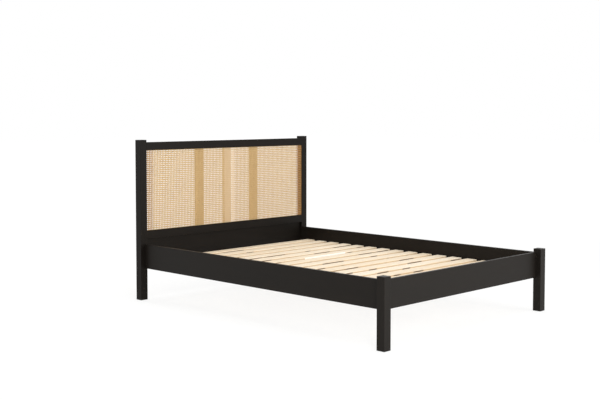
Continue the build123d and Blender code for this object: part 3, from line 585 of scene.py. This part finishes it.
def grow(name, tree, values):
    """Runs a Geometry Nodes tree with these input values and returns the finished mesh as an object of its own."""
    carrier = bpy.data.objects.new(name + "_carrier", bpy.data.meshes.new(name + "_carrier"))
    bpy.context.scene.collection.objects.link(carrier)
    modifier = carrier.modifiers.new("grow", "NODES")
    modifier.node_group = tree
    for item in tree.interface.items_tree:
        if item.in_out == "INPUT" and item.name in values:
            modifier[item.identifier] = values[item.name]
    carrier.update_tag()
    graph = bpy.context.evaluated_depsgraph_get()
    graph.update()
    mesh = bpy.data.meshes.new_from_object(carrier.evaluated_get(graph), depsgraph=graph)
    bpy.data.objects.remove(carrier)
    if not mesh.polygons:
        raise RuntimeError(f"{name}: the weave came out empty")
    mesh.name = name
    piece = bpy.data.objects.new(name, mesh)
    bpy.context.scene.collection.objects.link(piece)
    return piece


# What a user of the add-on would change.


class CaneSettings(bpy.types.PropertyGroup):
    """The open cane webbing of the headboard."""

    pitch: FloatProperty(name="Pitch", description="From one pair of strands to the next",
                         default=12.5 * MM, unit="LENGTH", subtype="DISTANCE")
    half_spread: FloatProperty(name="Half spread", description="From a pair's middle line to each of its strands",
                               default=1.62 * MM, unit="LENGTH", subtype="DISTANCE")
    strand_width: FloatProperty(name="Strand width", description="Width of one strand of cane",
                                default=3.0 * MM, unit="LENGTH", subtype="DISTANCE")
    strand_thickness: FloatProperty(name="Strand thickness", description="Thickness of one strand of cane",
                                    default=0.46 * MM, unit="LENGTH", subtype="DISTANCE")
    seed: IntProperty(name="Seed", description="Which strands come out paler or deeper", default=7)
    cane_pale: FloatVectorProperty(name="Pale cane", description="The palest strands", subtype="COLOR",
                                   default=linear("#DABB87"))
    cane_deep: FloatVectorProperty(name="Deep cane", description="The deepest strands", subtype="COLOR",
                                   default=linear("#CBA772"))
    cane_joint: FloatVectorProperty(name="Cane joints", description="The darker joints of the vine",
                                    subtype="COLOR", default=linear("#8E6B43"))
    # Painted shade along the sheet's two sides.
    cane_side_shade: FloatVectorProperty(name="Shaded cane sides", description="Painted shade along the sheet's two sides",
                                    subtype="COLOR", default=linear("#A87B45"))
    # Painted light: the paler strands over the middle upright.
    cane_upright_light: FloatVectorProperty(name="Upright light on cane", description="The palest strands, in the middle",
                                       subtype="COLOR", default=linear("#E9CDA6"))
    upright_light_half_width: FloatProperty(name="Upright light half width",
                                       description="From the middle of the sheet to where the palest strands end",
                                       default=48 * MM, unit="LENGTH", subtype="DISTANCE")
    side_shade_start: FloatProperty(name="Side shade start", description="From the middle of the sheet to the glued strips",
                              default=632 * MM, unit="LENGTH", subtype="DISTANCE")


class WoodSettings(bpy.types.PropertyGroup):
    """The clear finished woods: latewood, earlywood and warm heart of each, and the painted shade and painted light
    on the slats' edges.
    """

    slat_late: FloatVectorProperty(name="Slat latewood", description="The slats' darker ring lines",
                                   subtype="COLOR", default=linear("#D6BA94"))
    slat_early: FloatVectorProperty(name="Slat earlywood", description="The slats' pale wood between the rings",
                                    subtype="COLOR", default=linear("#F2E6D2"))
    slat_warm: FloatVectorProperty(name="Slat heart", description="The warmer parts of the slats", subtype="COLOR",
                                   default=linear("#E2CDAE"))
    # Painted shade low on the slats' long edges.
    edge_shade: FloatVectorProperty(name="Shaded edge", description="The slats' sawn long edges", subtype="COLOR",
                                   default=linear("#C49E6A"))
    # Painted shade: the dark brown of the patches on the slats' low edges.
    bark: FloatVectorProperty(name="Shade patches", description="Bark left on the slats' edges", subtype="COLOR",
                              default=linear("#4E341C"))
    # Painted light: the near-white stretch on one slat's edge.
    gap_light: FloatVectorProperty(name="Gap light", description="The near-white stretch of painted light on one edge", subtype="COLOR",
                                   default=linear("#FFFAF2"))
    rail_late: FloatVectorProperty(name="Rail latewood", description="The centre rail's darker ring lines",
                                   subtype="COLOR", default=linear("#CDAE84"))
    rail_early: FloatVectorProperty(name="Rail earlywood", description="The centre rail's pale wood",
                                    subtype="COLOR", default=linear("#EBD9BC"))
    rail_warm: FloatVectorProperty(name="Rail heart", description="The warmer parts of the centre rail",
                                   subtype="COLOR", default=linear("#DCC39C"))
    amber_late: FloatVectorProperty(name="Amber latewood", description="Ring lines of the two outer uprights",
                                    subtype="COLOR", default=linear("#B58A50"))
    amber_early: FloatVectorProperty(name="Amber earlywood", description="Pale wood of the two outer uprights",
                                     subtype="COLOR", default=linear("#D6B27A"))
    amber_warm: FloatVectorProperty(name="Amber heart", description="Warmer parts of the two outer uprights",
                                    subtype="COLOR", default=linear("#C59C60"))
    clear_late: FloatVectorProperty(name="Clear latewood", description="Ring lines of the middle upright",
                                    subtype="COLOR", default=linear("#DCC3A2"))
    clear_early: FloatVectorProperty(name="Clear earlywood", description="Pale wood of the middle upright",
                                     subtype="COLOR", default=linear("#F4E2CA"))
    clear_warm: FloatVectorProperty(name="Clear heart", description="Warmer parts of the middle upright",
                                    subtype="COLOR", default=linear("#E8D0B0"))


class LacquerSettings(bpy.types.PropertyGroup):
    """The black finish of the frame."""

    lacquer_dark: FloatVectorProperty(name="Dark film", description="Where the film is thickest", subtype="COLOR",
                                      default=linear("#15120F"))
    lacquer_pale: FloatVectorProperty(name="Pale film", description="Where the film is thinnest", subtype="COLOR",
                                      default=linear("#1D1915"))
    # The arrises' colour is partly the thinner film and partly a painted highlight.
    lacquer_edge_film_and_highlight: FloatVectorProperty(name="Edge film and highlight", description="Along the arrises, partly a painted highlight", subtype="COLOR",
                                      default=linear("#2A2620"))
    # Painted shade: the headboard's lacquer is darkened and dulled by this factor.
    head_shade_strength: FloatProperty(name="Headboard shade strength",
                                 description="How little painted shade darkens and dulls the headboard's coat, against 1 on the rest",
                                 default=0.78, min=0.0, max=1.0, subtype="FACTOR")
    lacquer_roughness: FloatProperty(name="Roughness", description="How much the satin blurs what it mirrors",
                                     default=0.45, min=0.05, max=1.0, subtype="FACTOR")
    lacquer_gloss: FloatProperty(name="Gloss", description="How strongly the satin mirrors the room",
                                 default=0.12, min=0.0, max=1.0, subtype="FACTOR")


class StudioSettings(bpy.types.PropertyGroup):
    """The camera and the light."""

    camera_place: FloatVectorProperty(name="Camera place", description="Where the camera stands",
                                      unit="LENGTH", subtype="TRANSLATION",
                                      default=(-4546.474 * MM, -4174.958 * MM, 1176.443 * MM))
    heading: FloatProperty(name="Heading", description="Turn of the camera from +Y towards +X",
                           default=math.radians(45.569), unit="ROTATION", subtype="ANGLE")
    pitch_down: FloatProperty(name="Pitch", description="How far the camera looks down",
                              default=math.radians(3.0), unit="ROTATION", subtype="ANGLE")
    focal_pixels: FloatProperty(name="Focal length in pixels", description="Focal length over the pixel size",
                                default=1023.453)
    middle_across: FloatProperty(name="Middle across", description="Where the lens axis meets the picture, across",
                                 default=301.642, subtype="PIXEL")
    middle_down: FloatProperty(name="Middle down", description="Where the lens axis meets the picture, down",
                               default=165.017, subtype="PIXEL")
    sky: FloatProperty(name="Room light", description="How bright the room is all round the bed", default=0.34)
    front_lamp: FloatProperty(name="Front lamp", description="Power of the soft lamp in front of the foot end",
                              default=125.0, unit="POWER")
    side_lamp: FloatProperty(name="Side lamp", description="Power of the soft lamp at the left of the foot end",
                             default=165.0, unit="POWER")
    back_lamp: FloatProperty(name="Back lamp", description="Power of the soft lamp behind the headboard",
                             default=90.0, unit="POWER")
    top_lamp: FloatProperty(name="Top lamp", description="Power of the soft lamp over the bed",
                            default=135.0, unit="POWER")


# One operator for each group of parts.


class BED_OT_lacquer_frame(bpy.types.Operator):
    """Sprays the posts, rails and panel black"""

    bl_idname = "bed.lacquer_frame"
    bl_label = "Lacquer the frame"

    def execute(self, context):
        look = context.scene.bed_lacquer
        for parts, name, along, strength in (
            # The headboard takes a darker, duller copy of the lacquer: painted shade.
            (HEAD_UPRIGHT_PARTS, "black_satin_lacquer_head_upright_in_shade", "Z", look.head_shade_strength),
            (HEAD_CROSSWISE_PARTS, "black_satin_lacquer_head_crosswise_in_shade", "X", look.head_shade_strength),
            (FOOT_POSTS, "black_satin_lacquer_upright", "Z", 1.0),
            (["foot_rail"], "black_satin_lacquer_crosswise", "X", 1.0),
            (LENGTHWISE_PARTS, "black_satin_lacquer_lengthwise", "Y", 1.0),
        ):
            dress(parts, black_satin_lacquer(name, along, look, strength))
        return {"FINISHED"}


class BED_OT_finish_slats(bpy.types.Operator):
    """Gives the slats and the centre rail planed pine"""

    bl_idname = "bed.finish_slats"
    bl_label = "Finish the slats"

    def execute(self, context):
        look = context.scene.bed_wood
        first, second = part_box("slat_16"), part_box("slat_15")
        pitch = second[0].y - first[0].y
        gap = pitch - (first[1].y - first[0].y)
        row = (pitch, first[0].y - gap / 2, first[1].z)
        slat_tones = (look.slat_late, look.slat_early, look.slat_warm)
        dress(SLAT_PARTS, planed_softwood("planed_pine", "X", slat_tones, 0.55, row, look))
        rail_tones = (look.rail_late, look.rail_early, look.rail_warm)
        dress(["centre_rail"], planed_softwood("planed_pine_rail", "Y", rail_tones, 0.6))
        return {"FINISHED"}


class BED_OT_finish_uprights(bpy.types.Operator):
    """Gives the headboard's three uprights their clear lacquered wood"""

    bl_idname = "bed.finish_uprights"
    bl_label = "Finish the uprights"

    def execute(self, context):
        look = context.scene.bed_wood
        amber = (look.amber_late, look.amber_early, look.amber_warm)
        clear = (look.clear_late, look.clear_early, look.clear_warm)
        dress(["cane_upright_left", "cane_upright_right"],
              planed_softwood("amber_lacquered_pine", "Z", amber, 0.4))
        dress(["cane_upright_centre"], planed_softwood("clear_lacquered_pine", "Z", clear, 0.45))
        return {"FINISHED"}


class BED_OT_weave_cane(bpy.types.Operator):
    """Weaves the open cane webbing where the plain sheet of the CAD model stands"""

    bl_idname = "bed.weave_cane"
    bl_label = "Weave the cane"

    def execute(self, context):
        look = context.scene.bed_cane
        low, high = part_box("cane_webbing")
        centre = (low + high) / 2
        size = high - low
        columns = int(size.x / look.pitch)
        rows = int(size.z / look.pitch)
        columns -= 1 - columns % 2
        rows -= 1 - rows % 2
        cane = split_cane(look)
        shared = {"Pitch": look.pitch, "Strand width": look.strand_width,
                  "Strand thickness": look.strand_thickness, "Sheet centre": centre, "Cane": cane}
        paired = paired_strands_tree()
        slanting = slanting_strands_tree()
        pair_wave = look.strand_thickness / 2
        slant_wave = size.y / 2 - look.strand_thickness * 0.61
        across, upward = (1.0, 0.0, 0.0), (0.0, 1.0, 0.0)
        pieces = []
        for name, first, pairs, run, spread, crossings, hand, seed in (
            ("cane_vertical_strands_left", -(columns // 2), columns // 2, upward, across, rows, -1, 0),
            ("cane_vertical_strands_right", 0, columns // 2 + 1, upward, across, rows, -1, 1),
            ("cane_level_strands_low", -(rows // 2), rows // 2, across, upward, columns, 1, 2),
            ("cane_level_strands_high", 0, rows // 2 + 1, across, upward, columns, 1, 3),
        ):
            pieces.append(grow(name, paired, shared | {
                "Half spread": look.half_spread, "Wave height": hand * pair_wave, "First pair": first,
                "Pairs": pairs, "Crossings": crossings, "Run": run, "Spread": spread, "Seed": look.seed + seed}))
        strands = 2 * int((size.x + size.z) / 2 / look.pitch)
        for name, slant, seed in (("cane_rising_strands", 1.0, 4), ("cane_falling_strands", -1.0, 5)):
            pieces.append(grow(name, slanting, shared | {
                "Wave height": slant_wave, "Slant": slant, "Half width": size.x / 2, "Half height": size.z / 2,
                "Strands": strands, "Seed": look.seed + seed}))
        for piece in pieces:
            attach(piece, "root")
            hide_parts("cane_webbing")
        return {"FINISHED"}


class BED_OT_finish_fittings(bpy.types.Operator):
    """Gives dowels, screws, bolts, brackets and glides their wood, metal and nylon"""

    bl_idname = "bed.finish_fittings"
    bl_label = "Finish the fittings"

    def execute(self, context):
        dress(DOWEL_PARTS, turned_beech())
        dress(ZINC_PARTS, plated_steel("zinc_plated_steel", "#B9BCBE", "#DADCDD", 1.0, 0.35, 0.5))
        dress(BLACK_STEEL_PARTS, plated_steel("black_oxide_steel", "#1C1C1D", "#4A4A4B", 0.7, 0.45, 0.8))
        dress(["floor_glides"], moulded_nylon())
        return {"FINISHED"}


class BED_OT_set_studio(bpy.types.Operator):
    """Sets up the floor, the soft lamps and the camera"""

    bl_idname = "bed.set_studio"
    bl_label = "Set up the studio"

    def execute(self, context):
        scene = context.scene
        look = scene.bed_studio
        scene.view_settings.view_transform = "Standard"
        sheet = bpy.data.meshes.new("studio_floor")
        corners = [(x * FLOOR_REACH, y * FLOOR_REACH, 0) for x, y in ((-1, -1), (1, -1), (1, 1), (-1, 1))]
        sheet.from_pydata(corners, [], [(0, 1, 2, 3)])
        floor = bpy.data.objects.new("studio_floor", sheet)
        sheet.materials.append(white_studio_floor())
        scene.collection.objects.link(floor)

        world = bpy.data.worlds.new("pale_room")
        world.use_nodes = True
        tree = world.node_tree
        tree.nodes.clear()
        seen = shown_to_eye(tree)
        strength = add_node(tree, "ShaderNodeMapRange", {"Value": seen, "To Min": look.sky, "To Max": 1.0})
        room = add_node(tree, "ShaderNodeBackground", {"Color": (1, 1, 1, 1), "Strength": strength.outputs[0]})
        add_node(tree, "ShaderNodeOutputWorld", {"Surface": room.outputs[0]})
        scene.world = world

        for name, power, size, place, aim in (
            ("front_softbox", look.front_lamp, 3.0, (1.5, -4.7, 1.8), (0.0, 0.0, 0.4)),
            ("side_softbox", look.side_lamp, 1.5, (-3.4, -4.4, 1.5), (-0.4, -0.6, 0.4)),
            ("back_softbox", look.back_lamp, 2.0, (-0.8, 5.6, 2.4), (0.0, 0.6, 0.5)),
            ("top_softbox", look.top_lamp, 4.0, (-0.2, 0.1, 4.6), (0.0, 0.0, 0.2)),
        ):
            lamp = bpy.data.lights.new(name, "AREA")
            lamp.energy = power
            lamp.shape = "SQUARE"
            lamp.size = size
            holder = bpy.data.objects.new(name, lamp)
            way = [end - start for start, end in zip(place, aim)]
            level = math.hypot(way[0], way[1])
            holder.rotation_euler = (math.atan2(level, -way[2]), 0, math.atan2(-way[0], way[1]))
            holder.location = place
            scene.collection.objects.link(holder)

        lens = bpy.data.cameras.new("camera")
        lens.sensor_width = SENSOR_WIDTH_MM
        lens.lens = look.focal_pixels * SENSOR_WIDTH_MM / IMAGE_WIDTH
        lens.shift_x = (IMAGE_WIDTH / 2 - look.middle_across) / IMAGE_WIDTH
        lens.shift_y = (look.middle_down - IMAGE_HEIGHT / 2) / IMAGE_WIDTH
        lens.clip_end = 100.0
        camera = bpy.data.objects.new("camera", lens)
        camera.location = look.camera_place
        camera.rotation_euler = (math.pi / 2 - look.pitch_down, 0, -look.heading)
        scene.collection.objects.link(camera)
        scene.camera = camera
        return {"FINISHED"}


class BED_PT_panel(bpy.types.Panel):
    """Lists the steps that dress the bed"""

    bl_label = "Cane Headboard Bed"
    bl_space_type = "VIEW_3D"
    bl_region_type = "UI"
    bl_category = "Bed"

    def draw(self, context):
        for step in STEPS:
            self.layout.operator(step.bl_idname)
        scene = context.scene
        for group in (scene.bed_cane, scene.bed_wood, scene.bed_lacquer, scene.bed_studio):
            box = self.layout.box()
            for name in group.__annotations__:
                box.prop(group, name)


STEPS = (BED_OT_set_studio, BED_OT_lacquer_frame, BED_OT_finish_slats, BED_OT_finish_uprights, BED_OT_weave_cane,
         BED_OT_finish_fittings)
CLASSES = (CaneSettings, WoodSettings, LacquerSettings, StudioSettings, *STEPS, BED_PT_panel)


def register():
    for entry in CLASSES:
        bpy.utils.register_class(entry)
    bpy.types.Scene.bed_cane = PointerProperty(type=CaneSettings)
    bpy.types.Scene.bed_wood = PointerProperty(type=WoodSettings)
    bpy.types.Scene.bed_lacquer = PointerProperty(type=LacquerSettings)
    bpy.types.Scene.bed_studio = PointerProperty(type=StudioSettings)


def unregister():
    for name in ("bed_cane", "bed_wood", "bed_lacquer", "bed_studio"):
        delattr(bpy.types.Scene, name)
    for entry in reversed(CLASSES):
        bpy.utils.unregister_class(entry)


def main():
    """Dresses the whole bed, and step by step."""
    register()
    bpy.ops.bed.set_studio()
    bpy.ops.bed.lacquer_frame()
    bpy.ops.bed.finish_slats()
    bpy.ops.bed.finish_uprights()
    bpy.ops.bed.weave_cane()
    bpy.ops.bed.finish_fittings()


if __name__ == "__main__":
    main()
